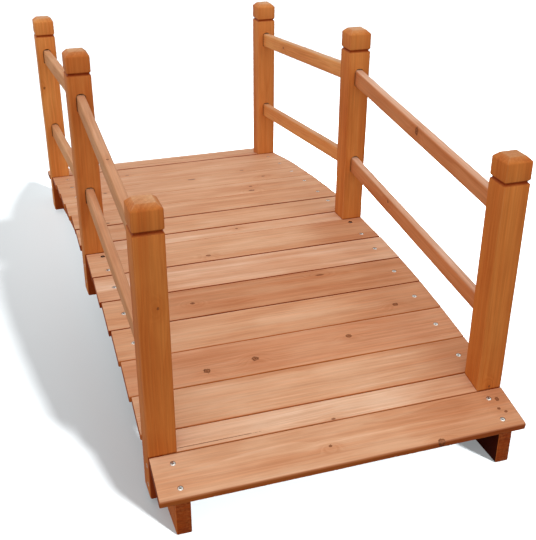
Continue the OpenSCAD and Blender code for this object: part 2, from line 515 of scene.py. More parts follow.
def weathered(tree, colour, here, point, streak, upper, ends, soak):
    """Colour of soaked places, cut ends and worn edges, and of painted shade where the skin marks it."""
    if soak:
        along_grain = add(tree, "ShaderNodeSeparateXYZ", {0: point}).outputs["X"]
        colour = tinted(tree, colour, (ease(tree, along_grain, *soak), SOAK_TINT))
    own_facing = add(tree, "ShaderNodeSeparateXYZ", {0: here["Normal"]}).outputs["X"]
    end_grain = ease(tree, number(tree, "ABSOLUTE", own_facing), *END_FACING, ends)
    saw_marks = ease(tree, stretched_noise(tree, point, SAW_SPAN_MM)[0], *SAW_SHADES)
    colour = tinted(tree, colour, (end_grain, tinted(tree, END_TINT, (1.0, saw_marks))))
    arris = add(tree, "ShaderNodeAttribute", {}, attribute_name="arris").outputs["Fac"]
    worn = number(tree, "MULTIPLY", arris, ease(tree, streak, *EDGE_WEAR))
    colour = blend(tree, worn, colour, upper)
    # painted shade where the skin marks a negative arris, deeper under the deck
    stained = (ease(tree, arris, *IN_SHADE_MARK), SHADE_MARK_TINT)
    return tinted(tree, colour, stained, (ease(tree, arris, *IN_UNDER_DECK_SHADE), UNDER_DECK_SHADE_TINT))


# the marks of painted shade: -1 in grooves, joints, feet and tongues, -2 under the deck
print("cuts are marked", SHADE_MARK, "and damp faces", UNDER_DECK_SHADE)

# %% [markdown]
# ## Stained softwood
# One function makes the finish of one piece from the colour of its upper and upright faces, its own
# place in the log, and its knots, so no two boards show the same figure. Varnish would shine, but
# this stain is thin and matt. The rings and fibres drive the roughness and a fine bump too, so the
# light catches the grain.

# %% Finish of one piece of stained softwood
IN_MM = (1 / MM, 1 / MM, 1 / MM)
PITH_REACH_MM = (25, 75)
LOG_SPACING_MM = 1000
LEAN = 0.01
SWELL = 1.8
FIBRE_ROUGHNESS = (0.2, 0.8, 0.64, 0.50)
KNOT_SMOOTH = 0.12
LATE_RELIEF = 0.35
FIBRE_RELIEF = 0.65
KNOT_RELIEF = 0.5
GRAIN_STRENGTH = 0.5
GRAIN_BUMP = 0.3 * MM
SHEEN = 0.08


def softwood(name, upper, upright, seed, knots=(),
             pith_reach=PITH_REACH_MM, skyward=SKYWARD, ends=1.0, soak=None):
    """Material of one timber, which can darken between two places along its grain."""
    upper = paint(*upper)
    upright = paint(*upright)
    chance = random.Random(seed)
    pith_angle = chance.uniform(0, 2 * math.pi)
    pith_away = chance.uniform(*pith_reach)
    pith = (LOG_SPACING_MM * seed, pith_away * math.cos(pith_angle), pith_away * math.sin(pith_angle))
    lean = (0, chance.uniform(-LEAN, LEAN), chance.uniform(-LEAN, LEAN))
    material, tree, shader = new_finish(name)
    here = add(tree, "ShaderNodeTexCoord", {}).outputs
    point = vector(tree, "MULTIPLY", here["Object"], IN_MM)
    core, bark, halo = knot_marks(tree, point, knots)
    in_log = add(tree, "ShaderNodeMapping", {"Vector": point, "Location": pith, "Rotation": lean})
    wood = {"Point": in_log.outputs[0], "Swell": number(tree, "MULTIPLY", halo, SWELL)}
    group = add(tree, "ShaderNodeGroup", wood, node_tree=figure)
    marks = [group.outputs[mark] for mark in MARKS]
    late, fibre, streak = marks[:3]
    colour = wood_colour(tree, marks, (core, bark, halo), upper, upright, skyward)
    colour = weathered(tree, colour, here, point, streak, upper, ends, soak)
    put(tree, shader.inputs["Base Color"], colour)
    smoothed = number(tree, "MULTIPLY", core, KNOT_SMOOTH)
    rough = number(tree, "SUBTRACT", ease(tree, fibre, *FIBRE_ROUGHNESS), smoothed)
    put(tree, shader.inputs["Roughness"], rough)
    height = 0.0
    for mark, share in ((late, LATE_RELIEF), (fibre, FIBRE_RELIEF), (core, KNOT_RELIEF)):
        height = number(tree, "ADD", height, number(tree, "MULTIPLY", mark, share))
    put(tree, shader.inputs["Normal"], relief(tree, height, GRAIN_STRENGTH, GRAIN_BUMP))
    put(tree, shader.inputs["Specular IOR Level"], SHEEN)
    return material


# the walls of holes take this dark brown as painted shade
HOLE_SEED = 90
HOLE_SHADE_BROWN = (84, 42, 22)
hole_finish = softwood("hole_finish", HOLE_SHADE_BROWN, HOLE_SHADE_BROWN, HOLE_SEED)
print("the finish of a hole's walls has", len(hole_finish.node_tree.nodes), "nodes")

# %% [markdown]
# ## Which pieces there are
# The names of the solids say what each piece is, so the lists are picked from them. A piece that
# replaces a solid keeps its name with the word timber behind it and rides on the bridge's one body.

# %% Sort the pieces by kind
names = sorted(frame["nodes"])
boards = [name for name in names if "board" in name]
posts = [name for name in names if name.endswith("post")]
rails = [name for name in names if name.endswith("rail")]
stringers = [name for name in names if name.endswith("stringer")]
print(len(boards), "boards", len(posts), "posts", len(rails), "rails", len(stringers), "stringers")

# %% [markdown]
# ## Where the screws go
# Screws hold each board to the stringers, in a row over the middle of each. A board has one screw at
# each end, and the end boards have two. The boards beside the middle posts have a second one too,
# which was driven deep and looks dark, with painted shade on the walls of its hole. The boards between
# the posts have none, because the posts hold them down. Each screw is written down as a place and a
# depth, and the heads are made later in one go.

# %% List the screws of a board
stringer_low, stringer_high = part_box("right_stringer")
screw_line = (stringer_low.x + stringer_high.x) / 2
END_SHARE = 0.28
DEEP_SHARE = 0.33
DEEP_SIDES = {"near_board_6": 1, "far_board_1": -1}
SILVER_SINK = 0.25 * MM
DEEP_SINK = 2.2 * MM


def board_screws(board, width):
    """Places (x, y, sink) of the screws on a board, in its own axes."""
    if "post" in board:
        return []
    rows = [(0.0, SILVER_SINK)]
    if "end" in board:
        rows = [(-END_SHARE, SILVER_SINK), (END_SHARE, SILVER_SINK)]
    if board in DEEP_SIDES:
        toward = DEEP_SIDES[board]
        rows = [(-END_SHARE * toward, SILVER_SINK), (DEEP_SHARE * toward, DEEP_SINK)]
    return [(side * screw_line, share * width, sink) for side in (-1, 1) for share, sink in rows]


print("screws stand", round(screw_line / MM, 1), "mm from the middle")

# %% [markdown]
# ## Screw heads
# The head is a flat cone with a cross recess. A bump map would look pressed on from close by, so the
# head is skinned from rings like the timbers: from the shank out to the rim, over the slightly domed
# top, into the outline of the cross and down to its floor.

# %% Rings of one screw head
HEAD_RADIUS = 4.0 * MM
HEAD_DEPTH = 2.6 * MM
HEAD_RIM = ((0.97, -0.25 * MM), (1.0, -0.12 * MM), (0.96, 0.0))
HEAD_DOME = 0.12 * MM
SHANK_RADIUS = 1.8 * MM
CROSS_LENGTH = 2.3 * MM
CROSS_HALF_WIDTH = 0.55 * MM
CROSS_DEPTH = 1.3 * MM
CROSS_TAPER = 0.72


def cross_outline():
    """Points of a cross, at its corners and between them."""
    tip = CROSS_LENGTH
    half = CROSS_HALF_WIDTH
    corners = []
    for turn in range(4):
        spin = Matrix.Rotation(turn * math.pi / 2, 2)
        corners += [spin @ Vector(corner) for corner in ((tip, -half), (tip, half), (half, half))]
    points = []
    for corner, following in zip(corners, corners[1:] + corners[:1]):
        points += [corner, (corner + following) / 2]
    return points


def screw_rings():
    """Rings of a screw head from its shank to the floor of its cross."""
    cross = cross_outline()
    round_points = [point.normalized() for point in cross]
    levels = [(round_points, SHANK_RADIUS, -HEAD_DEPTH)]
    levels += [(round_points, HEAD_RADIUS * share, level) for share, level in HEAD_RIM]
    levels += [(cross, 1.0, HEAD_DOME), (cross, CROSS_TAPER, HEAD_DOME - CROSS_DEPTH)]
    return [[Vector((*(point * scale), level)) for point in points] for points, scale, level in levels]


SCREW_RINGS = screw_rings()
print("a screw head has", sum(len(ring) for ring in SCREW_RINGS), "points")

# %% [markdown]
# ## Countersinks and other holes
# Screw heads sit in countersinks and rails in mortises. Blender's Boolean modifier cuts one mesh with
# another and hands the cutting shape's material to the walls of the hole, so the walls of a hole take
# a dark brown that is painted shade. It is applied at once, because later steps should see a plain
# mesh. A countersink is a cone a little wider than the head, with a steep wall above it where a screw
# was driven deep.

# %% Cut a timber with other meshes
SINK_ROOM = 0.35 * MM
SINK_SIDES = 24
SINK_MOUTH = 2 * MM


def cut(piece, tools):
    """Takes the cutting shapes out of a timber and deletes them."""
    for tool in tools:
        hole = piece.modifiers.new("hole", "BOOLEAN")
        hole.operation = "DIFFERENCE"
        hole.solver = "EXACT"
        hole.material_mode = "TRANSFER"
        hole.object = tool
    bpy.context.view_layer.update()
    shown = piece.evaluated_get(bpy.context.evaluated_depsgraph_get())
    whole = piece.data
    piece.data = bpy.data.meshes.new_from_object(shown)
    piece.modifiers.clear()
    bpy.data.meshes.remove(whole)
    for tool in tools:
        bpy.data.meshes.remove(tool.data)


def cutter(name, rings, place):
    """Cutting shape that leaves walls painted dark as painted shade."""
    tool = skin(name, rings)
    tool.data.materials.append(hole_finish)
    tool.matrix_world = place
    return tool


def circle(radius, sides, level):
    """Points round a level circle."""
    angles = [2 * math.pi * side / sides for side in range(sides)]
    return [Vector((radius * math.cos(angle), radius * math.sin(angle), level)) for angle in angles]


def countersink(place, sink):
    """Cone that cuts the seat of one screw head."""
    levels = [
        (SHANK_RADIUS, -sink - HEAD_DEPTH - SINK_ROOM),
        (HEAD_RADIUS + SINK_ROOM, -sink - HEAD_DOME),
        (HEAD_RADIUS + SINK_ROOM * 2, SINK_MOUTH),
    ]
    rings = [[(point, 0.0) for point in circle(radius, SINK_SIDES, level)] for radius, level in levels]
    return cutter("countersink", rings, place)


print("a countersink leaves", round(SINK_ROOM / MM, 2), "mm round a head")

# %% [markdown]
# ## Knots that show on the deck
# The list gives each knot in plan, as a place across and along the bridge and a radius in
# millimetres, and how far it is drawn out along the grain. A board takes the knots that fall inside
# it. A branch runs right through a board, so a knot reaches much further down than it is wide.

# %% Places of the deck's knots
KNOT_THROUGH = 3
DECK_KNOTS = [
    (-165, -450, 5.2, 1.1), (-78, -441, 4.8, 1.2), (100, -425, 4.2, 1.2), (220, -362, 4, 1.3),
    (-140, -260, 3, 1.3), (120, -232, 2.2, 3.5), (-65, -98, 3.4, 1.4), (25, 5, 2.4, 1.3),
    (125, 215, 4.2, 1.5), (132, 245, 3.2, 1.3), (187, 315, 3, 1.5), (155, 390, 3, 1.5),
    (17, 360, 3.4, 2.5), (-25, -653, 2.4, 1.1), (149, -689, 4.6, 1.3), (0, -604, 1.8, 2),
    (-200, -600, 0.8, 90), (279, -629, 4.2, 0.8), (272, -649, 2.4, 1.2), (280, -658, 2.2, 1.3),
    (-230, 120, 3.2, 1.3), (-120, 480, 3.6, 1.3), (60, 645, 3.2, 1.4), (-200, 330, 3.4, 1.2),
]


def knots_on(place, size):
    """Centres and reaches of the knots on a board, in its own millimetres."""
    found = []
    to_board = place.inverted()
    for across, along, radius, drawn_out in DECK_KNOTS:
        own = to_board @ Vector((across * MM, along * MM, place.translation.z))
        if abs(own.x) < size.x / 2 and abs(own.y) < size.y / 2:
            reaches = (radius * drawn_out, radius, radius * KNOT_THROUGH)
            found.append(((own.x / MM, own.y / MM, size.z / 2 / MM), reaches))
    return found


print(len(DECK_KNOTS), "knots are listed for the deck")

# %% [markdown]
# ## The shape of a deck board
# The deck is seventeen flat boards with rounded edges, cut by hand, so their ends don't quite line
# up. The left ends were sawn askew, which leaves a small step at each joint, and drying has bent each
# board. The lower edges are wider than the top, so the joints close below. The outer edges of the end
# boards are rounded more, because feet meet them first. Shade is painted on the edges at the joints
# round the crown and at the far posts, and two boards have lifted there, so these joints show as dark
# lines.

# %% Rings of one deck board
BOARD_ARRIS = 1.8 * MM
END_ARRIS = 3.6 * MM
UNDER_ARRIS = 1.0 * MM
BOARD_FLATS = 6
LONG_BOARD = 580 * MM
LEFT_TRIM = 1.3 * MM
LEFT_SKEW = 3.2 * MM
RIGHT_TRIM = 0.9 * MM
BOW_RANGE = 0.5 * MM
CUP_RANGE = 0.35 * MM
LOW_SPREAD = 0.7 * MM
# arris radii of the near edges whose joints get painted shade
JOINT_SHADE_ARRISES = {
    "near_board_4": 0.9 * MM,
    "near_board_5": 0.9 * MM,
    "near_board_6": 0.9 * MM,
    "far_board_1": 1.6 * MM,
    "far_board_2": 1.0 * MM,
    "far_post_board": 0.7 * MM,
}
JOINT_SHADE_REACH = 0.9
LIFTED_EDGES = {"far_board_2": 0.7 * MM, "far_post_board": 1.5 * MM}
near_arrises = {"near_end_board": END_ARRIS} | JOINT_SHADE_ARRISES
far_arrises = {"far_end_board": END_ARRIS}


def board_rings(board, size, seed, chance):
    """Rings of a board that is sawn askew, bent, cupped and lifted."""
    ends = (LEFT_TRIM, RIGHT_TRIM)
    trims = [chance.uniform(-1, 1) * end if size.x > LONG_BOARD else 0.0 for end in ends]
    bow = chance.uniform(-BOW_RANGE, BOW_RANGE)
    cup = chance.uniform(-CUP_RANGE, CUP_RANGE)
    lift = LIFTED_EDGES.get(board, 0.0)
    upper_arrises = (far_arrises.get(board, BOARD_ARRIS), near_arrises.get(board, BOARD_ARRIS))
    plain = board not in near_arrises and board not in far_arrises
    arrises = BOARD_ARRIS if plain else upper_arrises + (UNDER_ARRIS, UNDER_ARRIS)
    joint_shade_to = JOINT_SHADE_REACH * JOINT_SHADE_ARRISES.get(board, -size.y) - size.y / 2
    rings = []
    for x, inset in stations(size.x):
        share = x / size.x
        ring = []
        section = rounded_section(size.y - 2 * inset, size.z - 2 * inset, arrises, BOARD_FLATS)
        for y, z, arris in section:
            skew = trims[0] + LEFT_SKEW * y / size.y
            trimmed = x + skew * (0.5 - share) + trims[1] * (0.5 + share)
            spread = LOW_SPREAD * (1 - 2 * z / size.z) * y / size.y
            bent = y + spread + bow * (1 - 4 * share * share)
            cupped = z + cup * (0.5 - 4 * y * y / size.y ** 2) + lift * (0.5 - y / size.y)
            # painted shade on the near edge that faces the joint
            mark = SHADE_MARK if y < joint_shade_to else arris
            ring.append((waver(Vector((trimmed, bent, cupped)), seed), mark))
        rings.append(ring)
    return rings


# these boards have painted shade along their near edge
print(len(JOINT_SHADE_ARRISES), "boards have stain along their near edge")

# %% [markdown]
# ## Deck boards
# Most boards are a salmon tan, a few are paler and one is ruddy and knotty. Some have soaked up more
# stain towards the right, and one all along but for its left end. One material for the whole deck
# would be quicker, but the change of shade from board to board is what the eye sees first.

# %% Build the deck boards
TAN = (218, 166, 129)
PALE = (227, 182, 149)
FAWN = (222, 174, 141)
RUDDY = (210, 150, 112)
# painted shade: upright faces of the boards take these deeper colours, and their tops the paler board
# shades as painted light
BOARD_EDGE = (190, 108, 50)
END_EDGE = (156, 80, 30)
BOARD_SHADES = {
    "near_post_board": PALE,
    "middle_post_board": PALE,
    "near_board_5": FAWN,
    "near_board_2": RUDDY,
}
SOAKED_MM = {
    "near_end_board": (60, 240),
    "near_post_board": (90, 200),
    "near_board_1": (120, 300),
    "near_board_3": (60, 320),
    "near_board_4": (-300, -150),
    "near_board_6": (110, 220),
}


def settle(node, rings, place, finish, tools=()):
    """Skins a timber, cuts its holes and puts it in the place of its solid."""
    piece = skin(node + "_timber", rings)
    piece.matrix_world = place
    piece.data.materials.append(finish)
    if tools:
        cut(piece, tools)
    smooth_edges(piece)
    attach(piece, "root")
    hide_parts(node)


deck_screw_places = []
for seed, board in enumerate(boards, start=1):
    place, size = measure_board(board)
    chance = random.Random(seed)
    rings = board_rings(board, size, seed, chance)
    shade = BOARD_SHADES.get(board, TAN)
    # painted shade on the upright faces of the board
    edge = END_EDGE if "end" in board else BOARD_EDGE
    knots = knots_on(place, size)
    finish = softwood(board + "_finish", shade, edge, seed, knots, soak=SOAKED_MM.get(board))
    countersinks = []
    for x, y, sink in board_screws(board, size.y):
        spot = place @ Matrix.Translation((x, y, size.z / 2))
        countersinks.append(countersink(spot, sink))
        spin = Matrix.Rotation(chance.uniform(0, math.pi / 2), 4, "Z")
        deck_screw_places.append(spot @ Matrix.Translation((0, 0, -sink)) @ spin)
    settle(board, rings, place, finish, countersinks)
print(len(boards), "boards with", len(deck_screw_places), "screws")

# %% [markdown]
# ## Rails
# A rail is a slat with well rounded edges that slopes with the arch, and its ends are let into the
# posts. It is straight, so it needs only the ring skin, a touch of waviness and a finish that is
# paler than the posts. Each pair has its own shades: the near pair on the right came from a pinker
# batch of wood.

# %% Build the rails
RAIL_ARRIS = 4 * MM
RAIL_FLATS = 2
RAIL_SEED = 31
RAIL_PITH_MM = (30, 60)
# each pair is an upper colour, paler as painted light, and a side colour, deeper as painted shade, over
# each pair's own tone
RAIL_SHADES = {
    "near_left": ((204, 149, 112), (200, 142, 97)),
    "far_left": ((212, 160, 119), (212, 154, 104)),
    "near_right": ((217, 169, 139), (200, 129, 82)),
    "far_right": ((212, 160, 118), (222, 152, 88)),
}
RAIL_KNOTS = {
    "near_left_upper_rail": (-278, -297, 448, 2.2, 1.0),
    "far_right_upper_rail": (269.5, 411, 421, 3.0, 1.0),
    "near_right_upper_rail": (269.5, -297, 438, 7.5, 0.7),
    "near_right_lower_rail": (269.5, -204, 266, 3.0, 1.1),
}


def own_knots(place, listed):
    """A listed knot, if any, in a piece's own millimetres."""
    if listed is None:
        return []
    own = place.inverted() @ (Vector(listed[:3]) * MM)
    radius, drawn_out = listed[3:]
    return [(tuple(own / MM), (radius * drawn_out, radius, radius))]


def bar_rings(size, radii, seed):
    """Rings of a bar with rounded edges and eased ends."""
    rings = []
    for x, inset in stations(size.x):
        eased = tuple(radius - inset for radius in radii)
        section = rounded_section(size.y - 2 * inset, size.z - 2 * inset, eased, RAIL_FLATS)
        rings.append([(waver(Vector((x, y, z)), seed), arris) for y, z, arris in section])
    return rings


for seed, rail in enumerate(rails, start=RAIL_SEED):
    place, size = measure_rail(rail)
    rings = bar_rings(size, (RAIL_ARRIS,) * 4, seed)
    knots = own_knots(place, RAIL_KNOTS.get(rail))
    shades = RAIL_SHADES[rail.rsplit("_", 2)[0]]
    finish = softwood(rail + "_finish", *shades, seed, knots, RAIL_PITH_MM)
    settle(rail, rings, place, finish)
print(len(rails), "rails,", round(size.x / MM), "mm long with their tenons")

# %% [markdown]
# ## The shape of a post
# A post is a square timber with a sloping cap, a V groove below it, and at its foot a half lap that
# leaves only an outer tongue beside the stringer. The cap and the groove draw rings in. The lap
# pushes a ring's inner side out to the tongue, and its shoulder is tilted like the deck that it
# stands on. The groove, the narrow sides of the tongue and a line at the foot are painted darker, as
# painted shade.

# %% Rings of one post
POST_ARRIS = 3 * MM
HIP_ARRIS = 0.8 * MM
POST_EASE = 1.0 * MM
SHAFT_SPACING = 40 * MM
CAP_HEIGHT = 8 * MM
CAP_INSET = 9 * MM
CAP_SLOPE = CAP_INSET / CAP_HEIGHT
CAP_FOOT = ((-POST_EASE, 0), (-0.2 * MM, 0.25 * MM), (POST_EASE, 1.1 * POST_EASE * CAP_SLOPE))
CAP_TOP = ((0.8 * MM, -MM), (0.15 * MM, 0), (0, MM))
GROOVE_DROP = 32 * MM
GROOVE_DEPTH = 3.5 * MM
GROOVE_MOUTH = 7 * MM
GROOVE_LIP = GROOVE_MOUTH / 2
# painted shade in the groove, from none at its lips to full at its floor
HALF_GROOVE = (
    (GROOVE_LIP + POST_EASE, 0, 0),
    (GROOVE_LIP - 0.2 * MM, 0.4 * MM, 0.4 * SHADE_MARK),
    (0.4 * MM, GROOVE_DEPTH, SHADE_MARK),
)
# height of the line of painted shade where the post meets the deck
FOOT_LINE = 2.5 * MM
FOOT_TAPER = 0.97
# painted shade on the tongue's narrow sides and foot, under the end boards
TONGUE_SHADE_MARK = 0.8 * SHADE_MARK
tongue = cad_high.x - stringer_high.x


def post_profile(half, shoulder):
    """Rows of height, draw-in and mark from a post's shoulder to its top."""
    cap = half - CAP_HEIGHT
    groove = cap - GROOVE_DROP
    run = groove - GROOVE_LIP - shoulder
    count = round(run / SHAFT_SPACING)
    rows = [(shoulder + run * step / count, 0, 0) for step in range(1, count)]
    rows += [(groove - step, inset, mark) for step, inset, mark in HALF_GROOVE]
    rows += [(groove + step, inset, mark) for step, inset, mark in reversed(HALF_GROOVE)]
    rows += [(cap + step, inset, 0) for step, inset in CAP_FOOT]
    rows += [(half - drop, CAP_INSET + inset, 0) for drop, inset in CAP_TOP]
    return rows


def foot_rings(size, level, tilt):
    """Rings of a post's tongue and tilted shoulder."""
    half = size.x / 2
    inner = size.z / 2 - tongue
    outer = size.z / 2 - POST_EASE
    edge = size.y / 2 - POST_ARRIS / 2
    full = rounded_section(size.y, size.z, POST_ARRIS)
    foot = []
    lapped = []
    # painted shade on the inner part of the post just above its shoulder
    stained = []
    for y, z, arris in full:
        mark = TONGUE_SHADE_MARK if abs(y) > edge else arris
        foot.append((y * FOOT_TAPER, min(max(z, inner + POST_EASE), outer), TONGUE_SHADE_MARK))
        lapped.append((y, max(z, inner), mark))
        stained.append((y, z, SHADE_MARK if z < inner else mark))
    flat = [(foot, -half), (lapped, POST_EASE - half)]
    tilted = [(lapped, 0), (stained, 0), (full, FOOT_LINE)]
    rings = [[(Vector((x, y, z)), mark) for y, z, mark in section] for section, x in flat]
    for section, lift in tilted:
        rings.append([(Vector((level + tilt * y + lift, y, z)), mark) for y, z, mark in section])
    return rings


def post_rings(size, level, tilt, seed):
    """Rings of a post from its foot to its top."""
    rings = foot_rings(size, level, tilt)
    for x, inset, mark in post_profile(size.x / 2, level):
        radius = max(POST_ARRIS - inset, HIP_ARRIS)
        section = rounded_section(size.y - 2 * inset, size.z - 2 * inset, radius)
        rings.append([(waver(Vector((x, y, z)), seed), mark or arris) for y, z, arris in section])
    return rings


print("a post's tongue is", round(tongue / MM, 1), "mm thick")

# %% [markdown]
# ## Posts
# Each post stands on a narrow board, whose top gives the height and tilt of its shoulder. The
# mortises are cut with slightly larger copies of the rails that are rounder on top, and leave a gap
# above each rail whose walls are painted dark as painted shade. Two screws go through each tongue.
# The posts have kept more of the stain's orange than the deck.

# %% Build the posts
MORTISE_ROOM = Vector((2 * MM, 2.8 * MM, 2.8 * MM))
MORTISE_LIFT = 1.4 * MM
MORTISE_RADII = (8 * MM, 5 * MM, 5 * MM, 8 * MM)
POST_SEED = 51
POST_PITH_MM = (10, 60)
# painted light: caps and other upward faces take POST_UPPER, and upright faces the deeper POST_SHADES
# colour as painted shade
POST_SKYWARD = (0.68, 0.96)
POST_SCREW_DROPS = (30 * MM, 66 * MM)
POST_SCREW_SHIFT = 8 * MM
POST_UPPER = (208, 152, 107)
DARK_UPPER = (198, 139, 90)
POST_SHADES = {
    "near_left_post": (192, 112, 50),
    "near_right_post": (195, 113, 50),
    "middle_left_post": (197, 118, 57),
    "middle_right_post": (201, 121, 58),
    "far_left_post": (217, 140, 73),
    "far_right_post": (205, 125, 63),
}
POST_KNOTS = {
    "near_left_post": (-271, -608, 341, 1.8, 1.2),
    "far_left_post": (-293, 563, 331, 2.6, 1.2),
    "near_right_post": (277, -608, 95, 1.8, 1.2),
}


def mortise(rail):
    """Cutting shape for a rail's ends, with room round it."""
    place, size = measure_rail(rail)
    rings = bar_rings(size + MORTISE_ROOM, MORTISE_RADII, 0)
    return cutter("mortise", rings, Matrix.Translation(UP * MORTISE_LIFT) @ place)


def deck_under(place, row):
    """Top of the board that a post stands on and its tilt, in the post's own axes."""
    board_place, board_size = measure_board(row + "_post_board")
    board_up = board_place.to_3x3() @ UP
    own_up = place.to_3x3().transposed() @ board_up
    board_top = place.inverted() @ (board_place.translation + board_up * board_size.z / 2)
    return board_top, -own_up.y / own_up.x


post_screw_places = []
for seed, post in enumerate(posts, start=POST_SEED):
    row, side = post.split("_")[:2]
    outward = ACROSS if side == "right" else -ACROSS
    place, size = measure(post, UP, outward)
    board_top, tilt = deck_under(place, row)
    rings = post_rings(size, board_top.x - tilt * board_top.y, tilt, seed)
    shades = (DARK_UPPER if post == "near_right_post" else POST_UPPER, POST_SHADES[post])
    knots = own_knots(place, POST_KNOTS.get(post))
    finish = softwood(post + "_finish", *shades, seed, knots, POST_PITH_MM, POST_SKYWARD, ends=0.0)
    bays = ("near", "far") if row == "middle" else (row,)
    mortises = [mortise(f"{bay}_{side}_{level}_rail") for bay in bays for level in ("upper", "lower")]
    settle(post, rings, place, finish, mortises)
    for drop in POST_SCREW_DROPS:
        spot = (board_top.x - drop, POST_SCREW_SHIFT * outward.x, size.z / 2)
        post_screw_places.append(place @ Matrix.Translation(spot))
print(len(posts), "posts with", len(post_screw_places), "screws in their tongues")

# %% [markdown]
# ## Stringers
# A stringer is a plank on edge, sawn to the curve of the arch, with flat feet where the curve would
# run into the ground. Its crown and the top corner of its end give the upper curve. The lower curve
# has the same centre and stops at the ground. The inner sides under the deck are painted dark as
# painted shade.

# %% Build the stringers
STRINGER_ARRIS = 1.6 * MM
STRINGER_SPACING = 20 * MM
STRINGER_SEED = 71
# painted light: the paler colour goes on upward faces, and the deeper one on upright faces as painted
# shade
STRINGER_UPPER = (190, 120, 70)
STRINGER_SIDE = (184, 98, 42)
CROWN_ROOM = 15 * MM
INNER_SHARE = 0.4


def arch_height(y, radius, crown):
    """Height of a circular arch at y."""
    return crown - radius + math.sqrt(radius * radius - y * y)


for seed, stringer in enumerate(stringers, start=STRINGER_SEED):
    place, size = measure(stringer, ALONG, ACROSS)
    corners = [vertex.co for vertex in frame["nodes"][stringer].data.vertices]
    outer = 1 if stringer.startswith("right") else -1
    end = size.x / 2
    crown = max(corner.z for corner in corners)
    drop = crown - max(corner.z for corner in corners if corner.y > end - MM)
    radius = (end * end + drop ** 2) / (2 * drop)
    low_crown = min(corner.z for corner in corners if abs(corner.y) < CROWN_ROOM)
    low_radius = radius - (crown - low_crown)
    rings = []
    for x, inset in stations(size.x, STRINGER_SPACING):
        top = arch_height(x, radius, crown)
        bottom = max(0.0, arch_height(x, low_radius, low_crown))
        middle = (top + bottom) / 2 - place.translation.z
        ring = []
        for y, z, arris in rounded_section(top - bottom - 2 * inset, size.z - 2 * inset, STRINGER_ARRIS):
            # painted shade on the inner side under the deck
            shaded = inset == 0 and z * outer < -INNER_SHARE * size.z
            ring.append((Vector((x, middle + y, z)), UNDER_DECK_SHADE if shaded else arris))
        rings.append(ring)
    finish = softwood(stringer + "_finish", STRINGER_UPPER, STRINGER_SIDE, seed)
    settle(stringer, rings, place, finish)
print("stringer arch radius", round(radius, 3), "m, underside crown", round(low_crown / MM), "mm")

# %% [markdown]
# ## Zinc plated screws
# The heads are plated steel that has dulled a little: a metal shader with uneven roughness and fine
# scratches. The crosses get a darker plating, which is painted shade. The heads are many and alike,
# so those of the deck are one mesh and those of the posts another.

# %% Finish and join the screws
ZINC = ((238, 235, 228), (176, 173, 166))
# the crosses take this darker plating as painted shade
CROSS_SHADE_ZINC = ((112, 104, 96), (58, 50, 44))
DULL_PATCH_MM = (1.6, 1.6, 1.6)
DULL_EDGE = (0.45, 0.75)
ZINC_ROUGHNESS = (0.3, 0.7, 0.28, 0.5)
SCRATCH_SPAN_MM = (0.15, 2.5, 0.15)
SCRATCH_STRENGTH = 0.2
SCRATCH_DEPTH = 0.05 * MM


def zinc_steel(name, bright, dull):
    """Material of the screw heads."""
    material, tree, shader = new_finish(name)
    here = add(tree, "ShaderNodeTexCoord", {}).outputs["Object"]
    point = vector(tree, "MULTIPLY", here, IN_MM)
    patch = stretched_noise(tree, point, DULL_PATCH_MM, detail=3.0)[0]
    scratch = stretched_noise(tree, point, SCRATCH_SPAN_MM, detail=1.0)[0]
    colour = blend(tree, ease(tree, patch, *DULL_EDGE), paint(*bright), paint(*dull))
    put(tree, shader.inputs["Base Color"], colour)
    put(tree, shader.inputs["Roughness"], ease(tree, patch, *ZINC_ROUGHNESS))
    put(tree, shader.inputs["Normal"], relief(tree, scratch, SCRATCH_STRENGTH, SCRATCH_DEPTH))
    put(tree, shader.inputs["Metallic"], 1.0)
    return material


def join_screws(name, places, finishes):
    """One mesh of screw heads, with the second finish in their crosses."""
    maker = bmesh.new()
    for place in places:
        loops = [[maker.verts.new(place @ point) for point in ring] for ring in SCREW_RINGS]
        cross_faces = len(loops[-1]) + 1
        for face in bridge_loops(maker, loops)[-cross_faces:]:
            face.material_index = 1
    piece = link_mesh(name, maker)
    for finish in finishes:
        piece.data.materials.append(finish)
    smooth_edges(piece)
    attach(piece, "root")
    print(name, "has", len(places), "heads")


platings = (zinc_steel("zinc_steel", *ZINC), zinc_steel("zinc_recess", *CROSS_SHADE_ZINC))
join_screws("deck_screws", deck_screw_places, platings)
join_screws("post_screws", post_screw_places, platings)

# %% [markdown]
# ## Studio floor
# The bridge stands on one large disc. The camera sees it as a slightly cool grey, which cancels the
# orange that the wood throws on it, and lamps of its own bring it up to white, so only the bridge's
# shadow stays grey. For light that bounces it is a little darker, or the bounce would fill every
# shaded face of the wood.

# %% Build the floor
FLOOR_RADIUS = 30.0
FLOOR_SIDES = 96
FLOOR_DROP = 0.2 * MM
FLOOR_SEEN = (0.567, 0.60, 0.616, 1)
FLOOR_BOUNCE = (0.52, 0.52, 0.52, 1)


def seen_directly(tree):
    """1 for what is seen directly or mirrored, and 0 for bounced light."""
    path = add(tree, "ShaderNodeLightPath", {}).outputs
    seen = number(tree, "MAXIMUM", path["Is Camera Ray"], path["Is Glossy Ray"])
    return number(tree, "MAXIMUM", seen, path["Is Transmission Ray"])


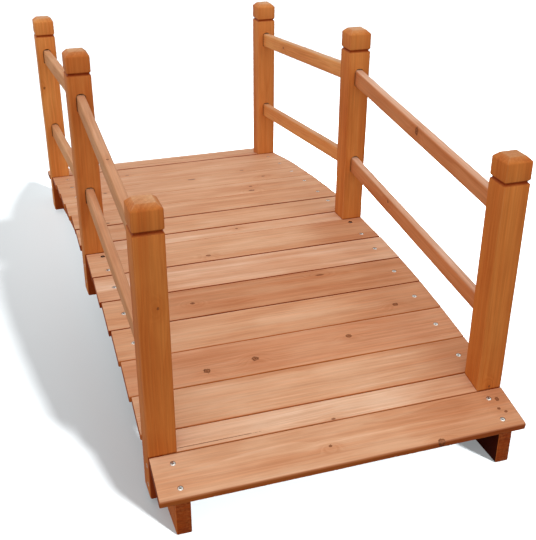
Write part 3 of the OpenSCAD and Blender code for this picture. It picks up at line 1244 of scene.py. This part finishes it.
floor_mesh = bpy.data.meshes.new("studio_floor")
floor_mesh.from_pydata(circle(FLOOR_RADIUS, FLOOR_SIDES, -FLOOR_DROP), [], [range(FLOOR_SIDES)])
floor = bpy.data.objects.new("studio_floor", floor_mesh)
floor_only = bpy.data.collections.new("floor_only")
scene.collection.children.link(floor_only)
floor_only.objects.link(floor)
floor_finish, floor_tree = new_finish("floor_white")[:2]
floor_tree.nodes.clear()
floor_colour = blend(floor_tree, seen_directly(floor_tree), FLOOR_BOUNCE, FLOOR_SEEN)
floor_shader = add(floor_tree, "ShaderNodeBsdfDiffuse", {"Color": floor_colour})
add(floor_tree, "ShaderNodeOutputMaterial", {"Surface": floor_shader.outputs[0]})
floor_mesh.materials.append(floor_finish)
print("floor radius", FLOOR_RADIUS, "m")

# %% [markdown]
# ## Studio lamps
# The wood has the even light of a pale room, and the only clear shadow lies on the floor, left of the
# deck. One lamp can't give both, so light linking keeps three apart. The shadow lamp stands low at
# the front right and lights only the floor. The end boards and the last boards don't block it, so the
# floor in front stays bright and the shadow ends early at the back. A fill lamp beyond the right side
# lights only the floor too. Nothing blocks it, so it lets the shadow fade towards the back. Neither
# lamp's light bounces, so the wood gets none of it. The soft lamp lights only the bridge, from above
# and with a very wide angle.

# %% Hang the lamps
OPEN_TO_LAMP = ["near_end_board", "far_end_board", "far_post_board"]
OPEN_TO_LAMP += ["far_board_6", "far_board_5", "far_board_4"]
SHADOW_LEVEL = 1.35
SHADOW_FROM = Vector((1.25, -2.2, 1.0))
SHADOW_ANGLE = 7
SOFT_LEVEL = 0.24
SOFT_FROM = Vector((0.05, -0.6, 0.9))
SOFT_ANGLE = 80
FILL_PLACE = Vector((0.5, 0.5, 0.434))
FILL_WATTS = 60.6
FILL_RADIUS = 0.2
NO_BOUNCES = 0
MANY_BOUNCES = 1024


def hang(light, bounces, receivers, blockers):
    """Lamp that lights only the receivers and is blocked only by the blockers."""
    light.cycles.max_bounces = bounces
    lamp = bpy.data.objects.new(light.name, light)
    lamp.light_linking.receiver_collection = receivers
    lamp.light_linking.blocker_collection = blockers
    scene.collection.objects.link(lamp)
    return lamp


def sun_lamp(name, level, toward, angle, bounces, receivers, blockers=None):
    """Sun in a direction, some degrees wide, that gives level ground a level."""
    light = bpy.data.lights.new(name, "SUN")
    light.energy = level * math.pi / toward.normalized().z
    light.angle = math.radians(angle)
    lamp = hang(light, bounces, receivers, blockers)
    lamp.rotation_mode = "QUATERNION"
    lamp.rotation_quaternion = toward.to_track_quat("Z", "Y")
    print(name, "gives level ground", level)


bridge_only = bpy.data.collections.new("bridge_only")
deck_only = bpy.data.collections.new("deck_only")
for piece in bpy.data.objects:
    if piece.type == "MESH" and piece is not floor:
        bridge_only.objects.link(piece)
    in_deck = piece.name.endswith("_timber") and ("board" in piece.name or "stringer" in piece.name)
    if in_deck and piece.name.removesuffix("_timber") not in OPEN_TO_LAMP:
        deck_only.objects.link(piece)
sun_lamp("shadow_lamp", SHADOW_LEVEL, SHADOW_FROM, SHADOW_ANGLE, NO_BOUNCES, floor_only, deck_only)
fill_light = bpy.data.lights.new("fill_lamp", "POINT")
fill_light.energy = FILL_WATTS
fill_light.shadow_soft_size = FILL_RADIUS
fill_lamp = hang(fill_light, NO_BOUNCES, floor_only, floor_only)
fill_lamp.location = FILL_PLACE
fill_lamp.visible_camera = False
sun_lamp("soft_lamp", SOFT_LEVEL, SOFT_FROM, SOFT_ANGLE, MANY_BOUNCES, bridge_only)

# %% [markdown]
# ## The room
# The rest of the light comes from all sides, so the room is the world. It is brighter on the left and
# overhead, which models the posts, and the camera sees it as plain white. The soft lamp and the room
# light an upward face at a level near one, so a colour looks as it was written.

# %% Light the room
ROOM_LEVEL = 0.70
ROOM_SWING = 0.22
ROOM_BRIGHT_SIDE = Vector((-0.9, 0.0, 0.43)).normalized()
WHITE = (1, 1, 1, 1)

room = bpy.data.worlds.new("studio_room")
room.use_nodes = True
room_tree = room.node_tree
room_tree.nodes.clear()
direction = add(room_tree, "ShaderNodeTexCoord", {}).outputs["Generated"]
brightness = vector(room_tree, "DOT_PRODUCT", direction, ROOM_BRIGHT_SIDE)
swing = number(room_tree, "MULTIPLY", brightness, ROOM_SWING)
level = number(room_tree, "ADD", swing, ROOM_LEVEL)
strength = number(room_tree, "MAXIMUM", level, seen_directly(room_tree))
backdrop = add(room_tree, "ShaderNodeBackground", {"Color": WHITE, "Strength": strength})
add(room_tree, "ShaderNodeOutputWorld", {"Surface": backdrop.outputs[0]})
scene.world = room
print("room level", ROOM_LEVEL)

# %% [markdown]
# ## Camera
# The photograph was taken from a little left of the near end, from about a metre up, looking down
# along the deck. The place, turn and lens were worked out from the corners of the posts and boards. A
# small shift keeps the framing without turning the camera.

# %% Set the camera
LENS_MM = 61.05
FRAME_SHIFT = (0.0109, 0.0337)
CAMERA_PLACE = (-0.4777, -1.6890, 0.9613)
CAMERA_TURN = (61.674, -0.025, -18.265)

camera = bpy.data.cameras.new("camera")
camera.lens = LENS_MM
camera.shift_x, camera.shift_y = FRAME_SHIFT
camera_stand = bpy.data.objects.new("camera", camera)
camera_stand.location = CAMERA_PLACE
camera_stand.rotation_euler = [math.radians(angle) for angle in CAMERA_TURN]
scene.collection.objects.link(camera_stand)
scene.camera = camera_stand
print("camera at", [round(value, 3) for value in camera_stand.location])
